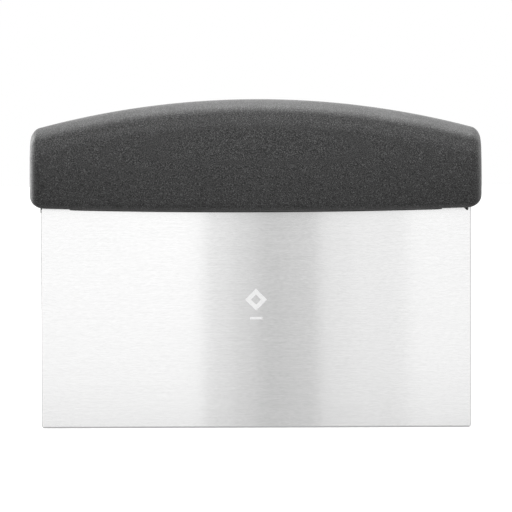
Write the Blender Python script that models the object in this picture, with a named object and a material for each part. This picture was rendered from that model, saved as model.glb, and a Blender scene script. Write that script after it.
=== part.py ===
"""Bench scraper: a stainless steel blade moulded into a textured black handle.

The blade's tang is locked in a rigid moulded core, and the grip is moulded over that core.
Frame: metres, +Z up. The origin is the middle of the scraping edge. +X runs along the blade
and the handle, and the blade's two broad faces look along -Y (front) and +Y (rear).
"""

import math

import bmesh
import bpy

MM = 0.001

# Fit between pieces that are moulded round each other.
MOULD_GAP = 0.3 * MM

# Blade: one blanked and brushed sheet.
BLADE_WIDTH = 152.4 * MM
BLADE_THICKNESS = 1.0 * MM
BLADE_CORNER = 1.0 * MM
EDGE_BREAK = 0.2 * MM  # rounding of the blanked outline
EDGE_LAND = 0.5 * MM  # thickness left at the scraping edge
EDGE_GRIND = 0.6 * MM  # height of the ground bevel on each side

# Tang: the part of the blade inside the handle.
SHOULDER_Z = 80.8 * MM
TANG_WIDTH = 136 * MM
TANG_TOP_Z = 99 * MM
TANG_CORNER = 3 * MM
LOCK_HOLE_RADIUS = 4 * MM
LOCK_HOLE_COUNT = 5
LOCK_HOLE_PITCH = 27 * MM
LOCK_HOLE_Z = 90.5 * MM

# Grip: outside shape of the handle.
GRIP_LENGTH = 159.5 * MM
GRIP_TOP_Z = 116.6 * MM
GRIP_TOP_ARC = 300 * MM  # radius of the arched back, seen from the front
GRIP_UNDER_Z = 77.0 * MM
GRIP_UNDER_ARC = 2450 * MM  # radius of the slightly bowed underside
GRIP_HALF_THICKNESS = 11 * MM
GRIP_END_THINNING = 1.2 * MM  # taken off each side towards the ends
GRIP_LONGEST_Z = 85 * MM
END_DRAFT = math.radians(0.6)  # lean of each end above its longest point
# Elliptical rounding of the ends: reach along X, then depth into the section.
END_TOP_ROUND = (3.1 * MM, 3.7 * MM)
END_UNDER_ROUND = (5.0 * MM, 4.3 * MM)
END_SIDE_ROUND = (4.4 * MM, 4.2 * MM)

# Grip: cross-section from the crown down to the underside.
CROWN_DEPTH = 5.3 * MM  # height of the arched crown with its rounded corner
CROWN_CORNER = 4.6 * MM  # radius of that corner
CROWN_CORNER_LEANS = (math.radians(34), math.radians(78))  # slopes where it starts and ends
SHOULDER_SLOPE = 0.2
SHOULDER_DEPTH = 9.2 * MM  # where the sloped shoulder turns into the flank
SHOULDER_SOFTNESS = 0.4 * MM
FLANK_BULGE = 0.25 * MM
FLANK_TUCK = 1.6 * MM  # how far the flank draws in above the underside
FLANK_WIDEST = 0.35  # share of the flank's height, from its top
UNDER_FILLET = 2.8 * MM
UNDER_LEAN = math.radians(10)

# Core: rigid first moulding, inside the grip.
CORE_WALL = 4.0 * MM  # grip material over the core
CORE_FLOOR = 3.6 * MM  # grip material under the core
CORE_CROWN_SHARE = 0.64  # size of the core's crown against the grip's
LAND_HALF_LENGTH = 66 * MM
LAND_HALF_WIDTH = 4 * MM
LAND_PROUD = 0.4 * MM
LAND_ROOT_Z = 84 * MM
LAND_END_ANGLE = math.radians(75)  # how far its round ends turn before they are cut square
WINDOW_RADIUS = 2.75 * MM
WINDOW_Z = 105.2 * MM
WINDOW_COUNT = 4
WINDOW_PITCH = LOCK_HOLE_PITCH  # between the blade's lock holes

CUT_MARGIN = 5 * MM  # how far a cutter runs past the wall that it cuts
ROUND_STEPS = 24  # sides of a round hole


def clear_scene():
    for obj in list(bpy.data.objects):
        bpy.data.objects.remove(obj, do_unlink=True)


def make_material(name, colour, roughness, metallic=0.0):
    material = bpy.data.materials.new(name)
    material.use_nodes = True
    shader = material.node_tree.nodes["Principled BSDF"]
    shader.inputs["Base Color"].default_value = (*colour, 1.0)
    shader.inputs["Roughness"].default_value = roughness
    shader.inputs["Metallic"].default_value = metallic
    return material


def make_object(name, bm, parent=None, material=None):
    """Turns a bmesh into a named object. With no material it is a cutter, and stays out of the model."""
    bmesh.ops.recalc_face_normals(bm, faces=bm.faces)
    mesh = bpy.data.meshes.new(name)
    bm.to_mesh(mesh)
    bm.free()
    obj = bpy.data.objects.new(name, mesh)
    bpy.context.scene.collection.objects.link(obj)
    obj.parent = parent
    if material:
        mesh.materials.append(material)
        mesh.shade_smooth()
        mesh.set_sharp_from_angle(angle=math.radians(35))
    else:
        obj.hide_render = True
        obj.display_type = "WIRE"
    return obj


def add_boolean(obj, operation, other):
    modifier = obj.modifiers.new(f"{operation.lower()}_{other.name}", "BOOLEAN")
    modifier.operation = operation
    modifier.solver = "EXACT"
    modifier.object = other


def add_prism(bm, outline, low_y, high_y):
    """Adds a closed prism along Y over an outline of (x, z) points."""
    front = [bm.verts.new((x, low_y, z)) for x, z in outline]
    back = [bm.verts.new((x, high_y, z)) for x, z in outline]
    bm.faces.new(front)
    bm.faces.new(reversed(back))
    for i in range(len(outline)):
        j = (i + 1) % len(outline)
        bm.faces.new((front[i], back[i], back[j], front[j]))


def add_loft(bm, loops):
    """Adds a closed tube through loops of equally many points, with a flat cap at each end."""
    rings = [[bm.verts.new(point) for point in loop] for loop in loops]
    for ring, following in zip(rings, rings[1:]):
        for i in range(len(ring)):
            j = (i + 1) % len(ring)
            bm.faces.new((ring[i], ring[j], following[j], following[i]))
    bm.faces.new(rings[0])
    bm.faces.new(reversed(rings[-1]))


def rounded_outline(corners, segments=5):
    """Closed outline through (x, z, radius) corners, each with a radius rounded by an arc."""
    outline = []
    for i, (x, z, radius) in enumerate(corners):
        if radius == 0:
            outline.append((x, z))
            continue
        towards = []
        for other_x, other_z, _ in (corners[i - 1], corners[(i + 1) % len(corners)]):
            length = math.hypot(other_x - x, other_z - z)
            towards.append(((other_x - x) / length, (other_z - z) / length))
        (ax, az), (bx, bz) = towards
        half_angle = math.acos(ax * bx + az * bz) / 2
        to_centre = radius / math.sin(half_angle)
        middle_x, middle_z = ax + bx, az + bz
        scale = to_centre / math.hypot(middle_x, middle_z)
        centre_x, centre_z = x + middle_x * scale, z + middle_z * scale
        tangent = radius / math.tan(half_angle)
        start = math.atan2(z + az * tangent - centre_z, x + ax * tangent - centre_x)
        end = math.atan2(z + bz * tangent - centre_z, x + bx * tangent - centre_x)
        sweep = (end - start + math.pi) % (2 * math.pi) - math.pi
        for step in range(segments + 1):
            angle = start + sweep * step / segments
            outline.append(
                (centre_x + radius * math.cos(angle), centre_z + radius * math.sin(angle))
            )
    return outline


# ---- blade ---------------------------------------------------------------------------


def row_of(count, pitch):
    """Places along X for evenly spaced features, centred on the blade's middle."""
    return [(i - (count - 1) / 2) * pitch for i in range(count)]


def round_cutter(name, centre_xs, centre_z, radius):
    """Round rods along Y, as one cutter."""
    bm = bmesh.new()
    for centre_x in centre_xs:
        angles = [2 * math.pi * step / ROUND_STEPS for step in range(ROUND_STEPS)]
        circle = [
            (centre_x + radius * math.cos(angle), centre_z + radius * math.sin(angle))
            for angle in angles
        ]
        add_prism(bm, circle, -GRIP_HALF_THICKNESS, GRIP_HALF_THICKNESS)
    return make_object(name, bm)


def edge_grind_cutter():
    """Two wedges that grind the scraping edge from full thickness to its land."""
    half_land, half_thickness = EDGE_LAND / 2, BLADE_THICKNESS / 2
    slope = (half_thickness - half_land) / EDGE_GRIND
    low_z, high_z = -CUT_MARGIN, EDGE_GRIND + CUT_MARGIN
    half_length = BLADE_WIDTH / 2 + CUT_MARGIN
    bm = bmesh.new()
    for side in (-1, 1):
        section = (
            (side * (half_land + slope * low_z), low_z),
            (side * (half_land + slope * high_z), high_z),
            (side * (half_thickness + CUT_MARGIN), high_z),
            (side * (half_thickness + CUT_MARGIN), low_z),
        )
        add_loft(bm, [[(x, y, z) for y, z in section] for x in (-half_length, half_length)])
    return make_object("edge_grind_cutter", bm)


def add_edge_break(obj, width):
    bevel = obj.modifiers.new("edge_break", "BEVEL")
    bevel.width = width
    bevel.segments = 2
    bevel.limit_method = "ANGLE"
    bevel.angle_limit = math.radians(50)


def blade_solid(name, grow=0.0, parent=None, material=None):
    """The blade, or with grow the cutter that leaves room all round it."""
    half_width = BLADE_WIDTH / 2 + grow
    half_tang = TANG_WIDTH / 2 + grow
    shoulder_z, tang_top_z = SHOULDER_Z + grow, TANG_TOP_Z + grow
    outline = rounded_outline(
        (
            (-half_width, -grow, BLADE_CORNER),
            (half_width, -grow, BLADE_CORNER),
            (half_width, shoulder_z, BLADE_CORNER),
            (half_tang, shoulder_z, 0),
            (half_tang, tang_top_z, TANG_CORNER),
            (-half_tang, tang_top_z, TANG_CORNER),
            (-half_tang, shoulder_z, 0),
            (-half_width, shoulder_z, BLADE_CORNER),
        )
    )
    half_thickness = BLADE_THICKNESS / 2 + grow
    bm = bmesh.new()
    add_prism(bm, outline, -half_thickness, half_thickness)
    blade = make_object(name, bm, parent, material)
    if grow == 0:
        add_edge_break(blade, EDGE_BREAK)
    hole_xs = row_of(LOCK_HOLE_COUNT, LOCK_HOLE_PITCH)
    holes = round_cutter(f"{name}_lock_hole_cutter", hole_xs, LOCK_HOLE_Z, LOCK_HOLE_RADIUS - grow)
    add_boolean(blade, "DIFFERENCE", holes)
    return blade


# ---- handle --------------------------------------------------------------------------


def arc_drop(x, radius):
    """How far a circle's arc falls at x from its top."""
    return radius - math.sqrt(radius * radius - x * x)


def under_z(x):
    return GRIP_UNDER_Z + arc_drop(x, GRIP_UNDER_ARC)


def half_section(top_z, bottom_z, half_thickness, crown_share, counts):
    """(y, z) points down one side of a handle section, from the crown to the underside's middle.

    The counts are the steps on the crown, its corner, the flank, the fillet and the underside.
    """
    crown, corner, flank, fillet, underside = counts
    crown_depth, crown_corner = CROWN_DEPTH * crown_share, CROWN_CORNER * crown_share
    fillet_start_depth = top_z - bottom_z - UNDER_FILLET * (1 - math.sin(UNDER_LEAN))
    widest_depth = crown_depth + FLANK_WIDEST * (fillet_start_depth - crown_depth)

    def flank_y(depth):
        """Half thickness at a depth below the crown's top, on the shoulder and the flank."""
        past_shoulder = (SHOULDER_DEPTH - depth) / SHOULDER_SOFTNESS
        shoulder = SHOULDER_SLOPE * SHOULDER_SOFTNESS * math.log1p(math.exp(past_shoulder))
        if depth < widest_depth:
            share = (widest_depth - depth) / (widest_depth - crown_depth)
            return half_thickness - shoulder - FLANK_BULGE * share**2
        share = (depth - widest_depth) / (fillet_start_depth - widest_depth)
        return half_thickness - shoulder - FLANK_TUCK * share**2

    points = []
    start, end = CROWN_CORNER_LEANS
    corner_y = flank_y(crown_depth) - crown_corner * (math.sin(end) - math.sin(start))
    corner_depth = crown_depth - crown_corner * (math.cos(start) - math.cos(end))
    power = math.tan(start) * corner_y / corner_depth
    for step in range(crown):
        share = step / crown
        points.append((corner_y * share, top_z - corner_depth * share**power))
    for step in range(corner):
        lean = start + (end - start) * step / corner
        y = corner_y + crown_corner * (math.sin(lean) - math.sin(start))
        depth = corner_depth + crown_corner * (math.cos(start) - math.cos(lean))
        points.append((y, top_z - depth))
    for step in range(flank):
        depth = crown_depth + (fillet_start_depth - crown_depth) * step / flank
        points.append((flank_y(depth), top_z - depth))
    fillet_y = flank_y(fillet_start_depth) - UNDER_FILLET * math.cos(UNDER_LEAN)
    for step in range(fillet):
        angle = UNDER_LEAN + (math.pi / 2 - UNDER_LEAN) * step / fillet
        points.append(
            (
                fillet_y + UNDER_FILLET * math.cos(angle),
                bottom_z + UNDER_FILLET * (1 - math.sin(angle)),
            )
        )
    for step in range(underside + 1):
        points.append((fillet_y * (1 - step / underside), bottom_z))
    return points


def mirrored_stations(straight, reach, spans, end_steps, end_angle=math.pi / 2):
    """X stations: even along the straight, then closer together round each end."""
    middle = [-straight + 2 * straight * i / spans for i in range(spans + 1)]
    end = [
        straight + reach * math.sin(end_angle * step / end_steps)
        for step in range(1, end_steps + 1)
    ]
    return [-x for x in reversed(end)] + middle + end


def end_closing(x, half_length, rounding):
    """How far an end's rounding has drawn the section in at x."""
    reach, depth = rounding
    share = max(0.0, (abs(x) - half_length + reach) / reach)
    return depth * (1 - math.sqrt(max(0.0, 1 - share * share)))


def handle_loops(inset, inset_under, crown_share, spans, end_steps, counts):
    """Closed loops of points along X for the grip's outside, or for a body held that far inside it."""
    half_length = GRIP_LENGTH / 2 - inset
    reach = END_SIDE_ROUND[0]
    loops = []
    for x in mirrored_stations(half_length - reach, reach, spans, end_steps):
        thinning = GRIP_END_THINNING * abs(2 * x / GRIP_LENGTH) ** 3
        half_thickness = GRIP_HALF_THICKNESS - thinning - inset
        top_z = GRIP_TOP_Z - arc_drop(x, GRIP_TOP_ARC) - inset
        bottom_z = under_z(x) + inset_under
        side = half_section(top_z, bottom_z, half_thickness, crown_share, counts)
        section = side + [(-y, z) for y, z in reversed(side[1:-1])]

        narrowed = 1 - end_closing(x, half_length, END_SIDE_ROUND) / half_thickness
        closed_top_z = top_z - end_closing(x, half_length, END_TOP_ROUND)
        closed_bottom_z = bottom_z + end_closing(x, half_length, END_UNDER_ROUND)
        lowered = (closed_top_z - closed_bottom_z) / (top_z - bottom_z)
        loop = []
        for y, z in section:
            new_z = closed_bottom_z + (z - bottom_z) * lowered
            drafted = 1 - math.tan(END_DRAFT) * (new_z - GRIP_LONGEST_Z) / half_length
            loop.append((x * drafted, y * narrowed, new_z))
        loops.append(loop)
    return loops


def land_solid(name, grow):
    """The core's foot, which reaches down beside the blade and shows under the grip."""
    half_length, half_width = LAND_HALF_LENGTH + grow, LAND_HALF_WIDTH + grow
    straight = half_length - half_width
    loops = []
    for x in mirrored_stations(straight, half_width, 16, 4, end_angle=LAND_END_ANGLE):
        past_straight = max(0.0, abs(x) - straight)
        width = math.sqrt(half_width**2 - past_straight**2)
        low_z = under_z(x) - LAND_PROUD - grow
        corners = ((-width, low_z), (width, low_z), (width, LAND_ROOT_Z), (-width, LAND_ROOT_Z))
        loops.append([(x, y, z) for y, z in corners])
    bm = bmesh.new()
    add_loft(bm, loops)
    return make_object(name, bm)


def core_body(name, grow=0.0, parent=None, material=None):
    """The core's body with its land, or with grow the cutter that leaves room all round it."""
    loops = handle_loops(
        inset=CORE_WALL - grow,
        inset_under=CORE_FLOOR - grow,
        crown_share=CORE_CROWN_SHARE,
        spans=16,
        end_steps=4,
        counts=(4, 2, 6, 3, 1),
    )
    bm = bmesh.new()
    add_loft(bm, loops)
    body = make_object(name, bm, parent, material)
    add_boolean(body, "UNION", land_solid(f"{name}_land", grow))
    windows = round_cutter(
        f"{name}_window_cutter", row_of(WINDOW_COUNT, WINDOW_PITCH), WINDOW_Z, WINDOW_RADIUS - grow
    )
    add_boolean(body, "DIFFERENCE", windows)
    return body


def grip_outside(parent, material):
    loops = handle_loops(
        inset=0,
        inset_under=0,
        crown_share=1,
        spans=24,
        end_steps=8,
        counts=(6, 4, 11, 4, 2),
    )
    bm = bmesh.new()
    add_loft(bm, loops)
    return make_object("handle_grip", bm, parent, material)


def main():
    clear_scene()
    scraper = bpy.data.objects.new("bench_scraper", None)
    bpy.context.scene.collection.objects.link(scraper)

    steel = make_material("brushed_stainless_steel", (0.62, 0.62, 0.62), 0.28, metallic=1.0)
    core_plastic = make_material("core_polypropylene", (0.03, 0.03, 0.031), 0.45)
    grip_plastic = make_material("grip_textured_black", (0.018, 0.018, 0.019), 0.55)

    blade = blade_solid("blade", parent=scraper, material=steel)
    add_boolean(blade, "DIFFERENCE", edge_grind_cutter())

    core = core_body("handle_core", parent=scraper, material=core_plastic)
    blade_room = blade_solid("blade_room_cutter", grow=MOULD_GAP)
    add_boolean(core, "DIFFERENCE", blade_room)

    grip = grip_outside(scraper, grip_plastic)
    add_boolean(grip, "DIFFERENCE", core_body("core_room_cutter", grow=MOULD_GAP))
    add_boolean(grip, "DIFFERENCE", blade_room)


main()
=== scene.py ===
"""Bench scraper: fine surfaces, materials, light and camera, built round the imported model."""

import math

import bmesh
import bpy
from mathutils import Euler, Matrix, Vector


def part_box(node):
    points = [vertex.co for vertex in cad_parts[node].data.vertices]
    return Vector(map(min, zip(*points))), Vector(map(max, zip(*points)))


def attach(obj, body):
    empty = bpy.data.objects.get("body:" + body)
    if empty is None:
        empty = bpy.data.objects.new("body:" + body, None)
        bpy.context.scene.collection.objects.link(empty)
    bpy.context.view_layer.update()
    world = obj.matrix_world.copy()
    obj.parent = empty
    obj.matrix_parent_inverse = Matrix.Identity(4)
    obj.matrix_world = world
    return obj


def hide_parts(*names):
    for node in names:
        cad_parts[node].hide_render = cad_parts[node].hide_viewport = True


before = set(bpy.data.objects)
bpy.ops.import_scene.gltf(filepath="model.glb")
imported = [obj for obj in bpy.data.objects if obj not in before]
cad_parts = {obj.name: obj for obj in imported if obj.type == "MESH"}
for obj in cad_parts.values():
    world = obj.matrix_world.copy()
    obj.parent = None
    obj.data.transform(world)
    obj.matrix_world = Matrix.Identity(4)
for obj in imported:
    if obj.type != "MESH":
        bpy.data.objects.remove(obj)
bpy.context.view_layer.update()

MM = 0.001
SHARP_ANGLE = math.radians(32)  # edges that turn by more than this are shaded sharp

BLADE_LOW, BLADE_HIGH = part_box("blade")
GRIP_LOW, GRIP_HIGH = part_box("handle_grip")

# Grip: the same outside shape as the CAD node's, with a finer mesh.
GRIP_LENGTH = 159.5 * MM
GRIP_HALF_THICKNESS = GRIP_HIGH.y
GRIP_TOP_Z = GRIP_HIGH.z
GRIP_TOP_ARC = 300 * MM  # radius of the arched back, seen from the front
GRIP_UNDER_Z = GRIP_LOW.z
GRIP_UNDER_ARC = 2450 * MM  # radius of the slightly bowed underside
GRIP_END_THINNING = 1.2 * MM  # taken off each side towards the ends
GRIP_LONGEST_Z = 85 * MM  # where the ends are GRIP_LENGTH apart
END_DRAFT = math.radians(0.6)  # lean of each end, inwards above that height
# Elliptical rounding of the ends: reach along X, then depth into the section.
END_TOP_ROUND = (3.1 * MM, 3.7 * MM)
END_UNDER_ROUND = (5.0 * MM, 4.3 * MM)
END_SIDE_ROUND = (4.4 * MM, 4.2 * MM)

# Grip: cross-section from the crown down to the underside.
CROWN_DEPTH = 5.3 * MM  # height of the arched crown with its rounded corner
CROWN_CORNER = 4.6 * MM  # radius of that corner
CROWN_CORNER_LEANS = (math.radians(34), math.radians(78))  # slopes where it starts and ends
SHOULDER_SLOPE = 0.2
SHOULDER_DEPTH = 9.2 * MM  # where the sloped shoulder turns into the flank
SHOULDER_SOFTNESS = 0.4 * MM
FLANK_BULGE = 0.25 * MM
FLANK_TUCK = 1.6 * MM  # how far the flank draws in above the underside
FLANK_WIDEST = 0.35  # share of the flank's height, from its top
UNDER_FILLET = 2.8 * MM
UNDER_LEAN = math.radians(10)

# Core: rigid first moulding, inside the grip.
SLOT_ROOM = 0.3 * MM  # the CAD gap between the core and the blade, closed up here
LAND_HALF_LENGTH = 66 * MM  # of the foot that shows under the grip
CUT_MARGIN = 5 * MM  # how far the slot's cutter runs out under the grip

# Flash: two scraps of moulding squeezed out beside the blade, as (x, z) outlines in mm.
FLASH_THICKNESS = 0.35 * MM
FLASH_WEDGE = ((73.4, 78.25), (75.35, 78.25), (75.2, 77.25), (74.85, 77.0))
FLASH_THREAD = (
    (-76.25, 78.6),
    (-75.72, 78.6),
    (-75.75, 77.8),
    (-75.95, 77.4),
    (-76.12, 77.2),
    (-75.85, 77.0),
    (-75.85, 76.75),
    (-76.25, 76.6),
)

# Blade: dull margins of the brushed sheet, darkened with painted shade: a painted dark reflection on
# the duller blanked sides, and painted shade along the ground edge.
SHEARED_WIDTH = 0.2 * MM  # rounded margin of the blanked sides
GROUND_HEIGHT = 0.6 * MM  # ground bevel of the scraping edge
GROUND_SHADE_AND_DULLNESS = 0.35  # painted shade and dullness of the ground edge, against the blanked sides
DULL_AND_SHADE_BLEND = 0.05 * MM

# Etched mark on the blade's front: a plain open diamond over a bar.
MARK_Z = 45.6 * MM
MARK_HALF_WIDTH = 3.9 * MM
MARK_LINE = 1.5 * MM
MARK_STRENGTH = 0.6
MARK_BLEND = 0.08 * MM
BAR_Z = 39.0 * MM
BAR_HALF_LENGTH = 2.2 * MM
BAR_HALF_HEIGHT = 0.42 * MM

# Materials: greys are linear, and scales of noise are in features per metre.
NOISE_SPREAD = (0.3, 0.7)  # between these lie nearly all of a noise's values

GRAIN_SCALE = 4600  # of the moulded texture
SPECKLE_SPREAD = (0.5, 0.64)  # the grain's values where it turns from dark to light
PATCH_SCALE = 90  # of the slow changes in its roughness
PATCH_ROUGHNESS = 0.04  # how far they go each way
SHEEN_WEIGHT = 0.11
SHEEN_ROUGHNESS = 0.3

FINE_BRUSHING = (700, 700, 3400)  # along X, Y and Z
LONG_BRUSHING = (45, 45, 5200)
BROAD_BRUSHING = (12, 12, 160)
FINE_SHARE = 0.65  # of the brushing's lines, and the long brushing has the rest
BRUSHING_DEPTH = 0.001 * MM
STEEL_GREYS = (0.75, 0.85)
STEEL_ROUGHNESS = (0.12, 0.18)
BROAD_ROUGHNESS = 0.01  # how far the broad brushing changes it each way
STEEL_ANISOTROPY = 0.92
MARK_GREY = 0.9
MARK_ROUGHENING = 0.3
# grey of the duller blanked metal, darkened further as painted shade and a painted dark reflection
DULL_AND_SHADED_GREY = 0.42
DULL_ROUGHENING = 0.25

FLOOR_RADIUS = 6.0
FLOOR_GREY = 0.8
FLOOR_GLOW = 0.3  # what the camera sees it give off, against its background
FLOOR_LIT_GREYS = (0.3, 0.15)  # as the object's light sees it, under the object and further off
FLOOR_LIT_REACH = (0.05, 0.25)  # distances from the origin between these two

# Camera.
CAMERA_DISTANCE = 1200 * MM
CAMERA_ELEVATION = math.radians(2.0)
CAMERA_ROLL = math.radians(0.19)
FRAME_WIDTH = 181.45 * MM  # what the picture spans at the blade
CAMERA_TARGET = Vector((0.03 * MM, BLADE_LOW.y, 61.05 * MM))

# Light, as radiance: the background that the camera sees is 1. The world's light changes
# evenly between two values of one component of the direction it comes from.
WORLD_BELOW = 0.52  # light from below the horizon
WORLD_WALLS = 0.92  # light from above it
HORIZON_BLEND = (-0.25, 0.25)
WORLD_SIDE_SHARE = 0.2  # how much of these two comes from beside the middle
SIDE_BLEND = (0.12, 0.4)
WORLD_FAR_SIDE_SHARE = 0.75  # and how much from further round, to straight left and right
FAR_SIDE_BLEND = (0.4, 0.55)
WORLD_BACKDROP = 0.25  # more from behind the object
BACKDROP_BLEND = (0.3, 0.8)
WORLD_CEILING = 0.9  # more from overhead
CEILING_BLEND = (0.15, 0.8)
WORLD_TABLE = 0.6  # more from straight below
TABLE_BLEND = (-0.75, -0.95)

# Upright panels close in front of the blade: name, from X and to X in mm, radiance.
PANEL_Y = -250 * MM
PANEL_LOW_Z, PANEL_HIGH_Z = -30 * MM, 190 * MM
FRONT_PANELS = (
    ("front_left_softbox", -110, -22, 0.52),
    ("front_left_fringe", -22, -9.5, 0.25),
    ("front_left_inner_fringe", -9.5, 0.5, 0.125),
    ("front_right_fringe", 13, 27, 0.05),
    ("front_inner_right_softbox", 27, 41, 0.29),
    ("front_right_softbox", 41, 65, 0.34),
    ("front_far_right_softbox", 65, 106, 0.47),
)

# Softboxes that face the object: name, centre, height aimed at, width, height, radiance.
SOFTBOXES = (
    ("front_upper_softbox", (0, PANEL_Y, 0.24), 0.1, 0.09, 0.1, 1.6),
    ("top_softbox", (0.06, 0, 0.45), 0.06, 0.4, 0.5, 2.5),
    ("left_softbox", (-0.9, 0.5, 0.2), 0.06, 1.0, 0.8, 4.2),
    ("right_softbox", (0.9, 0.4, 0.2), 0.06, 0.8, 0.8, 1.2),
)


# ---- mesh helpers --------------------------------------------------------------------


def add_loft(bm, loops):
    """Adds a closed tube through loops of equally many points, with a flat cap at each end."""
    rings = [[bm.verts.new(point) for point in loop] for loop in loops]
    for ring, following in zip(rings, rings[1:]):
        for i in range(len(ring)):
            j = (i + 1) % len(ring)
            bm.faces.new((ring[i], ring[j], following[j], following[i]))
    bm.faces.new(rings[0])
    bm.faces.new(reversed(rings[-1]))


def add_box(bm, low, high):
    size = Vector(high) - Vector(low)
    middle = (Vector(low) + Vector(high)) / 2
    place = Matrix.Translation(middle) @ Matrix.Diagonal((*size, 1))
    bmesh.ops.create_cube(bm, size=1, matrix=place)


def make_object(name, bm, material=None):
    """Turns a bmesh into a named object, smooth apart from its sharp edges."""
    bmesh.ops.recalc_face_normals(bm, faces=bm.faces)
    mesh = bpy.data.meshes.new(name)
    bm.to_mesh(mesh)
    bm.free()
    if material:
        mesh.materials.append(material)
    mesh.shade_smooth()
    mesh.set_sharp_from_angle(angle=SHARP_ANGLE)
    obj = bpy.data.objects.new(name, mesh)
    bpy.context.scene.collection.objects.link(obj)
    return obj


def welded_copy(node_name):
    """A bmesh of a CAD node's solid, with the corners that its file keeps apart joined again."""
    bm = bmesh.new()
    bm.from_mesh(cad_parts[node_name].data)
    bmesh.ops.remove_doubles(bm, verts=bm.verts, dist=0.001 * MM)
    return bm


def cut_away(piece, name, cutter_bm):
    """Cuts a solid from a piece, and keeps only the result."""
    cutter = make_object(name, cutter_bm)
    modifier = piece.modifiers.new(name, "BOOLEAN")
    modifier.operation = "DIFFERENCE"
    modifier.solver = "EXACT"
    modifier.object = cutter
    depsgraph = bpy.context.evaluated_depsgraph_get()
    result = bpy.data.meshes.new_from_object(piece.evaluated_get(depsgraph))
    piece.modifiers.clear()
    piece.data = result
    bpy.data.objects.remove(cutter, do_unlink=True)


# ---- handle --------------------------------------------------------------------------


def arc_drop(x, radius):
    """How far a circle's arc falls at x from its top."""
    return radius - math.sqrt(radius * radius - x * x)


def half_section(top_z, bottom_z, half_thickness, counts):
    """(y, z) points down one side of a handle section, from the crown to the underside's middle.

    The counts are the steps on the crown, its corner, the flank, the fillet and the underside.
    """
    crown, corner, flank, fillet, underside = counts
    fillet_start_depth = top_z - bottom_z - UNDER_FILLET * (1 - math.sin(UNDER_LEAN))
    widest_depth = CROWN_DEPTH + FLANK_WIDEST * (fillet_start_depth - CROWN_DEPTH)

    def flank_y(depth):
        """Half thickness at a depth below the crown's top, on the shoulder and the flank."""
        past_shoulder = (SHOULDER_DEPTH - depth) / SHOULDER_SOFTNESS
        shoulder = SHOULDER_SLOPE * SHOULDER_SOFTNESS * math.log1p(math.exp(past_shoulder))
        if depth < widest_depth:
            share = (widest_depth - depth) / (widest_depth - CROWN_DEPTH)
            return half_thickness - shoulder - FLANK_BULGE * share**2
        share = (depth - widest_depth) / (fillet_start_depth - widest_depth)
        return half_thickness - shoulder - FLANK_TUCK * share**2

    points = []
    start, end = CROWN_CORNER_LEANS
    corner_y = flank_y(CROWN_DEPTH) - CROWN_CORNER * (math.sin(end) - math.sin(start))
    corner_depth = CROWN_DEPTH - CROWN_CORNER * (math.cos(start) - math.cos(end))
    power = math.tan(start) * corner_y / corner_depth
    for step in range(crown):
        share = step / crown
        points.append((corner_y * share, top_z - corner_depth * share**power))
    for step in range(corner):
        lean = start + (end - start) * step / corner
        y = corner_y + CROWN_CORNER * (math.sin(lean) - math.sin(start))
        depth = corner_depth + CROWN_CORNER * (math.cos(start) - math.cos(lean))
        points.append((y, top_z - depth))
    for step in range(flank):
        depth = CROWN_DEPTH + (fillet_start_depth - CROWN_DEPTH) * step / flank
        points.append((flank_y(depth), top_z - depth))
    fillet_y = flank_y(fillet_start_depth) - UNDER_FILLET * math.cos(UNDER_LEAN)
    for step in range(fillet):
        angle = UNDER_LEAN + (math.pi / 2 - UNDER_LEAN) * step / fillet
        points.append(
            (
                fillet_y + UNDER_FILLET * math.cos(angle),
                bottom_z + UNDER_FILLET * (1 - math.sin(angle)),
            )
        )
    for step in range(underside + 1):
        points.append((fillet_y * (1 - step / underside), bottom_z))
    return points


def mirrored_stations(straight, reach, spans, end_steps):
    """X stations: even along the straight, then closer together round each end."""
    middle = [-straight + 2 * straight * i / spans for i in range(spans + 1)]
    end = [
        straight + reach * math.sin(math.pi / 2 * step / end_steps)
        for step in range(1, end_steps + 1)
    ]
    return [-x for x in reversed(end)] + middle + end


def end_closing(x, half_length, rounding):
    """How far an end's rounding has drawn the section in at x."""
    reach, depth = rounding
    share = max(0.0, (abs(x) - half_length + reach) / reach)
    return depth * (1 - math.sqrt(max(0.0, 1 - share * share)))


def handle_loops(spans, end_steps, counts):
    """Closed loops of points along X for the grip's outside."""
    half_length = GRIP_LENGTH / 2
    reach = END_SIDE_ROUND[0]
    loops = []
    for x in mirrored_stations(half_length - reach, reach, spans, end_steps):
        thinning = GRIP_END_THINNING * abs(2 * x / GRIP_LENGTH) ** 3
        half_thickness = GRIP_HALF_THICKNESS - thinning
        top_z = GRIP_TOP_Z - arc_drop(x, GRIP_TOP_ARC)
        bottom_z = GRIP_UNDER_Z + arc_drop(x, GRIP_UNDER_ARC)
        side = half_section(top_z, bottom_z, half_thickness, counts)
        section = side + [(-y, z) for y, z in reversed(side[1:-1])]

        narrowed = 1 - end_closing(x, half_length, END_SIDE_ROUND) / half_thickness
        closed_top_z = top_z - end_closing(x, half_length, END_TOP_ROUND)
        closed_bottom_z = bottom_z + end_closing(x, half_length, END_UNDER_ROUND)
        lowered = (closed_top_z - closed_bottom_z) / (top_z - bottom_z)
        loop = []
        for y, z in section:
            new_z = closed_bottom_z + (z - bottom_z) * lowered
            drafted = 1 - math.tan(END_DRAFT) * (new_z - GRIP_LONGEST_Z) / half_length
            loop.append((x * drafted, y * narrowed, new_z))
        loops.append(loop)
    return loops


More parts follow.
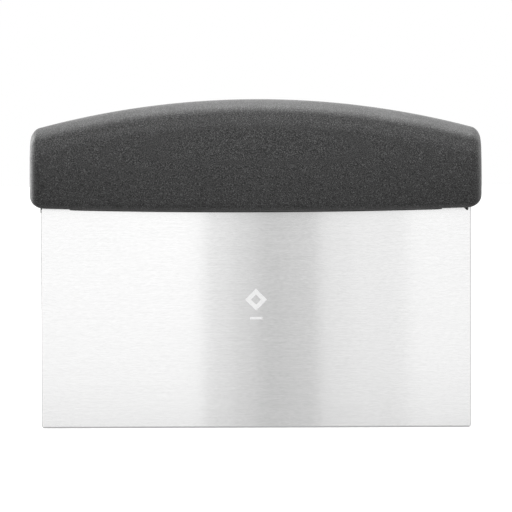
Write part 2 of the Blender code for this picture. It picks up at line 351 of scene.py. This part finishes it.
def make_grip(material):
    """The grip with a fine surface, hollowed by the real core and slotted by the real blade."""
    bm = bmesh.new()
    add_loft(bm, handle_loops(spans=150, end_steps=22, counts=(16, 10, 36, 12, 4)))
    grip = make_object("grip_skin", bm, material)
    cut_away(grip, "core_cutter", welded_copy("handle_core"))

    half_slot = BLADE_HIGH.y + 2 * SLOT_ROOM
    foot_reach = LAND_HALF_LENGTH - 2 * half_slot
    low_corner = (-foot_reach, -half_slot, GRIP_LOW.z - CUT_MARGIN)
    high_corner = (foot_reach, half_slot, BLADE_HIGH.z)
    bm = bmesh.new()
    add_box(bm, low_corner, high_corner)
    cut_away(grip, "slot_cutter", bm)
    cut_away(grip, "blade_cutter", welded_copy("blade"))
    grip.data.set_sharp_from_angle(angle=SHARP_ANGLE)
    return grip


def make_core(material):
    """The core, with its slot closed up on the blade as the moulding really does."""
    bm = welded_copy("handle_core")
    half_blade = BLADE_HIGH.y
    for vert in bm.verts:
        if abs(vert.co.y) < half_blade + 1.5 * SLOT_ROOM:
            vert.co.y = math.copysign(half_blade, vert.co.y)
    return make_object("core_moulding", bm, material)


def make_flash(material):
    """A small wedge of flash under the grip near the blade's right edge, and a thread at the left."""
    front = BLADE_LOW.y
    bm = bmesh.new()
    for outline in (FLASH_WEDGE, FLASH_THREAD):
        sides = (front - FLASH_THICKNESS, front)
        add_loft(bm, [[(x * MM, y, z * MM) for x, z in outline] for y in sides])
    return make_object("mould_flash", bm, material)


# ---- materials -----------------------------------------------------------------------


def add_node(tree, kind, inputs=None, **settings):
    """Adds a node. An input given as a socket is linked, and any other is a value."""
    node = tree.nodes.new(kind)
    for name, value in settings.items():
        setattr(node, name, value)
    for name, value in (inputs or {}).items():
        if isinstance(value, bpy.types.NodeSocket):
            tree.links.new(value, node.inputs[name])
        else:
            node.inputs[name].default_value = value
    return node


def maths(tree, operation, *values):
    return add_node(tree, "ShaderNodeMath", dict(enumerate(values)), operation=operation).outputs[0]


def new_material(name):
    """A material with its node tree and its Principled shader."""
    material = bpy.data.materials.new(name)
    material.use_nodes = True
    tree = material.node_tree
    return material, tree, tree.nodes["Principled BSDF"]


def place_coordinates(tree, scale=(1, 1, 1)):
    """Places on the object in metres, stretched by scale, with the row's axes."""
    coordinates = add_node(tree, "ShaderNodeTexCoord").outputs["Object"]
    scaled = add_node(
        tree, "ShaderNodeVectorMath", {0: coordinates, 1: scale}, operation="MULTIPLY"
    )
    return scaled.outputs[0]


def noise(tree, vector, scale, detail=2.0, roughness=0.5):
    node = add_node(
        tree,
        "ShaderNodeTexNoise",
        {"Vector": vector, "Scale": scale, "Detail": detail, "Roughness": roughness},
    )
    return node.outputs["Fac"]


def remap(tree, value, low, high, new_low, new_high):
    """Takes low to new_low and high to new_high, and stays at these outside the two."""
    node = add_node(
        tree,
        "ShaderNodeMapRange",
        {
            "Value": value,
            "From Min": low,
            "From Max": high,
            "To Min": new_low,
            "To Max": new_high,
        },
    )
    return node.outputs["Result"]


def mix_greys(tree, factor, first, second):
    """Blends from the first grey to the second. Each is a level, or a colour socket."""
    colours = {"Factor": factor}
    for name, grey in (("A", first), ("B", second)):
        colours[name] = grey if isinstance(grey, bpy.types.NodeSocket) else (grey, grey, grey, 1)
    return add_node(tree, "ShaderNodeMix", colours, data_type="RGBA").outputs["Result"]


def moulded_material(name, dark, light, roughness, grain_depth):
    """Black plastic with the fine even grain of a spark-eroded mould."""
    material, tree, shader = new_material(name)
    places = place_coordinates(tree)
    grain = noise(tree, places, scale=GRAIN_SCALE, detail=2.0, roughness=0.7)
    patches = noise(tree, places, scale=PATCH_SCALE, detail=3.0)

    speckle = remap(tree, grain, *SPECKLE_SPREAD, 0.0, 1.0)
    tree.links.new(mix_greys(tree, speckle, dark, light), shader.inputs["Base Color"])

    smoothest, roughest = roughness - PATCH_ROUGHNESS, roughness + PATCH_ROUGHNESS
    uneven = remap(tree, patches, *NOISE_SPREAD, smoothest, roughest)
    tree.links.new(uneven, shader.inputs["Roughness"])

    bump = add_node(
        tree, "ShaderNodeBump", {"Height": grain, "Distance": grain_depth, "Strength": 1.0}
    )
    tree.links.new(bump.outputs["Normal"], shader.inputs["Normal"])
    shader.inputs["Sheen Weight"].default_value = SHEEN_WEIGHT
    shader.inputs["Sheen Roughness"].default_value = SHEEN_ROUGHNESS
    return material


def inside_band(tree, value, low, high, softness):
    """1 where value lies between low and high, with a soft edge."""
    above = remap(tree, value, low - softness, low + softness, 0.0, 1.0)
    below = remap(tree, value, high - softness, high + softness, 1.0, 0.0)
    return maths(tree, "MULTIPLY", above, below)


def mark_mask(tree):
    """MARK_STRENGTH on the etched diamond and bar of the blade's front, and 0 elsewhere."""
    split = add_node(tree, "ShaderNodeSeparateXYZ", {0: place_coordinates(tree)})
    across = maths(tree, "ABSOLUTE", split.outputs["X"])
    up = split.outputs["Z"]

    from_middle = maths(tree, "ABSOLUTE", maths(tree, "SUBTRACT", up, MARK_Z))
    from_centre = maths(tree, "ADD", across, from_middle)
    inner = MARK_HALF_WIDTH - MARK_LINE * math.sqrt(2)
    diamond = inside_band(tree, from_centre, inner, MARK_HALF_WIDTH, MARK_BLEND)

    low, high = BAR_Z - BAR_HALF_HEIGHT, BAR_Z + BAR_HALF_HEIGHT
    bar_height = inside_band(tree, up, low, high, MARK_BLEND)
    bar_length = inside_band(tree, across, -BAR_HALF_LENGTH, BAR_HALF_LENGTH, MARK_BLEND)
    bar = maths(tree, "MULTIPLY", bar_height, bar_length)
    shapes = maths(tree, "MAXIMUM", diamond, bar)
    front = maths(tree, "LESS_THAN", split.outputs["Y"], 0.0)
    front_strength = maths(tree, "MULTIPLY", front, MARK_STRENGTH)
    return maths(tree, "MULTIPLY", shapes, front_strength)


def dull_and_painted_shade_edge_mask(tree):
    """1 on the blade's side edges, duller blanked metal with a painted dark reflection, and less on
    its ground edge, where it is painted shade.
    """
    split = add_node(tree, "ShaderNodeSeparateXYZ", {0: place_coordinates(tree)})
    across = maths(tree, "ABSOLUTE", split.outputs["X"])
    inner = BLADE_HIGH.x - SHEARED_WIDTH
    sides = remap(tree, across, inner - DULL_AND_SHADE_BLEND, inner, 0.0, 1.0)
    # The ground edge's darkening is painted shade, and its roughening is dullness.
    ground_top = GROUND_HEIGHT - DULL_AND_SHADE_BLEND
    ground = remap(tree, split.outputs["Z"], ground_top, GROUND_HEIGHT, GROUND_SHADE_AND_DULLNESS, 0.0)
    return maths(tree, "MAXIMUM", sides, ground)


def steel_material():
    """Stainless sheet, brushed along X, with the etched mark and the dull margins darkened by painted
    shade.
    """
    material, tree, shader = new_material("brushed_stainless")
    fine = noise(tree, place_coordinates(tree, FINE_BRUSHING), scale=1.0, detail=3.0)
    long = noise(tree, place_coordinates(tree, LONG_BRUSHING), scale=1.0, detail=2.0)
    broad = noise(tree, place_coordinates(tree, BROAD_BRUSHING), scale=1.0, detail=2.0)
    fine_part = maths(tree, "MULTIPLY", fine, FINE_SHARE)
    long_part = maths(tree, "MULTIPLY", long, 1 - FINE_SHARE)
    lines = maths(tree, "ADD", fine_part, long_part)
    mark = mark_mask(tree)
    dull_and_shaded_edges = dull_and_painted_shade_edge_mask(tree)

    shade = remap(tree, lines, *NOISE_SPREAD, 0.0, 1.0)
    brushed_metal = mix_greys(tree, shade, *STEEL_GREYS)
    marked_metal = mix_greys(tree, mark, brushed_metal, MARK_GREY)
    # Painted shade: the margins are darkened, with a painted dark reflection on the blanked sides and
    # painted shade on the ground edge.
    colour = mix_greys(tree, dull_and_shaded_edges, marked_metal, DULL_AND_SHADED_GREY)
    tree.links.new(colour, shader.inputs["Base Color"])

    rough = remap(tree, lines, *NOISE_SPREAD, *STEEL_ROUGHNESS)
    for change in (
        remap(tree, broad, *NOISE_SPREAD, -BROAD_ROUGHNESS, BROAD_ROUGHNESS),
        maths(tree, "MULTIPLY", mark, MARK_ROUGHENING),
        maths(tree, "MULTIPLY", dull_and_shaded_edges, DULL_ROUGHENING),
    ):
        rough = maths(tree, "ADD", rough, change)
    tree.links.new(rough, shader.inputs["Roughness"])

    bump = add_node(
        tree, "ShaderNodeBump", {"Height": lines, "Distance": BRUSHING_DEPTH, "Strength": 1.0}
    )
    tree.links.new(bump.outputs["Normal"], shader.inputs["Normal"])

    upward = add_node(
        tree,
        "ShaderNodeVectorTransform",
        {"Vector": (0, 0, 1)},
        vector_type="VECTOR",
        convert_from="OBJECT",
        convert_to="WORLD",
    )
    tree.links.new(upward.outputs["Vector"], shader.inputs["Tangent"])
    shader.inputs["Metallic"].default_value = 1.0
    shader.inputs["Anisotropic"].default_value = STEEL_ANISOTROPY
    return material


def floor_material():
    """Pale matt surface, lit from beneath like a light table, which throws little light back up."""
    material, tree, shader = new_material("pale_floor")
    shader.inputs["Base Color"].default_value = (FLOOR_GREY, FLOOR_GREY, FLOOR_GREY, 1)
    shader.inputs["Roughness"].default_value = 0.9
    shader.inputs["Specular IOR Level"].default_value = 0.1
    shader.inputs["Emission Color"].default_value = (1, 1, 1, 1)
    shader.inputs["Emission Strength"].default_value = FLOOR_GLOW
    away = add_node(
        tree, "ShaderNodeVectorMath", {0: place_coordinates(tree)}, operation="LENGTH"
    ).outputs["Value"]
    share = remap(tree, away, *FLOOR_LIT_REACH, 0.0, 1.0)
    lit_grey = mix_greys(tree, share, *FLOOR_LIT_GREYS)
    dim = add_node(tree, "ShaderNodeBsdfDiffuse", {"Color": lit_grey})
    path = add_node(tree, "ShaderNodeLightPath")
    mix = add_node(
        tree,
        "ShaderNodeMixShader",
        {0: path.outputs["Is Camera Ray"], 1: dim.outputs[0], 2: shader.outputs[0]},
    )
    tree.links.new(mix.outputs[0], tree.nodes["Material Output"].inputs["Surface"])
    return material


# ---- stage ---------------------------------------------------------------------------


def make_floor():
    """A round floor at the object's foot, which the steel doesn't reflect."""
    bm = bmesh.new()
    bmesh.ops.create_circle(bm, cap_ends=True, segments=96, radius=FLOOR_RADIUS)
    floor = make_object("floor", bm, floor_material())
    floor.visible_glossy = False


def make_world():
    """A white background, whose light on the object is that of a room with dim sides."""
    world = bpy.data.worlds.new("studio")
    bpy.context.scene.world = world
    world.use_nodes = True
    tree = world.node_tree
    tree.nodes.clear()
    direction = add_node(tree, "ShaderNodeTexCoord").outputs["Generated"]
    split = add_node(tree, "ShaderNodeSeparateXYZ", {0: direction})
    height = split.outputs["Z"]
    walls = remap(tree, height, *HORIZON_BLEND, WORLD_BELOW, WORLD_WALLS)
    sideways = maths(tree, "ABSOLUTE", split.outputs["X"])
    near_sides = remap(tree, sideways, *SIDE_BLEND, 1.0, WORLD_SIDE_SHARE)
    far_sides = remap(tree, sideways, *FAR_SIDE_BLEND, WORLD_SIDE_SHARE, WORLD_FAR_SIDE_SHARE)
    side_share = maths(tree, "MAXIMUM", near_sides, far_sides)
    backdrop = remap(tree, split.outputs["Y"], *BACKDROP_BLEND, 0.0, WORLD_BACKDROP)
    ceiling = remap(tree, height, *CEILING_BLEND, 0.0, WORLD_CEILING)
    table = remap(tree, height, *TABLE_BLEND, 0.0, WORLD_TABLE)
    strength = maths(tree, "MULTIPLY", walls, side_share)
    for part in (backdrop, ceiling, table):
        strength = maths(tree, "ADD", strength, part)
    light = add_node(tree, "ShaderNodeBackground", {"Color": (1, 1, 1, 1), "Strength": strength})
    seen = add_node(tree, "ShaderNodeBackground", {"Color": (1, 1, 1, 1), "Strength": 1.0})
    path = add_node(tree, "ShaderNodeLightPath")
    mix = add_node(
        tree,
        "ShaderNodeMixShader",
        {0: path.outputs["Is Camera Ray"], 1: light.outputs[0], 2: seen.outputs[0]},
    )
    add_node(tree, "ShaderNodeOutputWorld", {"Surface": mix.outputs[0]})


def add_softbox(name, centre, aim, width, height, radiance):
    """A rectangular softbox that faces a point, with an even brightness."""
    light = bpy.data.lights.new(name, "AREA")
    light.shape = "RECTANGLE"
    light.size = width
    light.size_y = height
    light.energy = radiance * math.pi * width * height
    obj = bpy.data.objects.new(name, light)
    obj.location = centre
    obj.rotation_euler = (Vector(aim) - Vector(centre)).to_track_quat("-Z", "Y").to_euler()
    obj.visible_camera = False
    bpy.context.scene.collection.objects.link(obj)


def make_lights():
    """The panels that the blade reflects, and the softboxes that shape the handle."""
    middle_z = (PANEL_LOW_Z + PANEL_HIGH_Z) / 2
    height = PANEL_HIGH_Z - PANEL_LOW_Z
    for name, low_x, high_x, radiance in FRONT_PANELS:
        middle_x = (low_x + high_x) / 2 * MM
        centre = (middle_x, PANEL_Y, middle_z)
        aim = (middle_x, 0, middle_z)
        add_softbox(name, centre, aim, (high_x - low_x) * MM, height, radiance)
    for name, centre, aim_z, width, height, radiance in SOFTBOXES:
        add_softbox(name, centre, (0, 0, aim_z), width, height, radiance)


def make_camera():
    """A long lens in front of the blade, a little above level."""
    camera = bpy.data.cameras.new("camera")
    camera.sensor_width = 36
    camera.lens = camera.sensor_width * CAMERA_DISTANCE / FRAME_WIDTH
    camera.clip_start = 0.01
    camera.clip_end = 100
    obj = bpy.data.objects.new("camera", camera)
    back = Vector((0, -math.cos(CAMERA_ELEVATION), math.sin(CAMERA_ELEVATION)))
    obj.location = CAMERA_TARGET + back * CAMERA_DISTANCE
    facing = (-back).to_track_quat("-Z", "Y").to_matrix()
    roll = Euler((0, 0, -CAMERA_ROLL)).to_matrix()
    obj.rotation_euler = (facing @ roll).to_euler()
    bpy.context.scene.collection.objects.link(obj)
    bpy.context.scene.camera = obj


# ---- assembly ------------------------------------------------------------------------


def dress_scraper():
    """The visual pieces in their materials. The blade keeps its CAD surface."""
    grip_plastic = moulded_material(
        "grip_plastic", dark=0.001, light=0.152, roughness=0.46, grain_depth=0.042 * MM
    )
    core_plastic = moulded_material(
        "core_plastic", dark=0.012, light=0.018, roughness=0.4, grain_depth=0.01 * MM
    )
    grip = make_grip(grip_plastic)
    core = make_core(core_plastic)
    flash = make_flash(grip_plastic)
    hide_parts("handle_grip")
    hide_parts("handle_core")
    for piece, slot in ((grip, "grip_plastic"), (core, "core_plastic"), (flash, "grip_plastic")):
        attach(piece, "root")
    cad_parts["blade"].material_slots[0].material = steel_material()


dress_scraper()
make_floor()
make_world()
make_lights()
make_camera()
bpy.context.scene.view_settings.view_transform = "Standard"
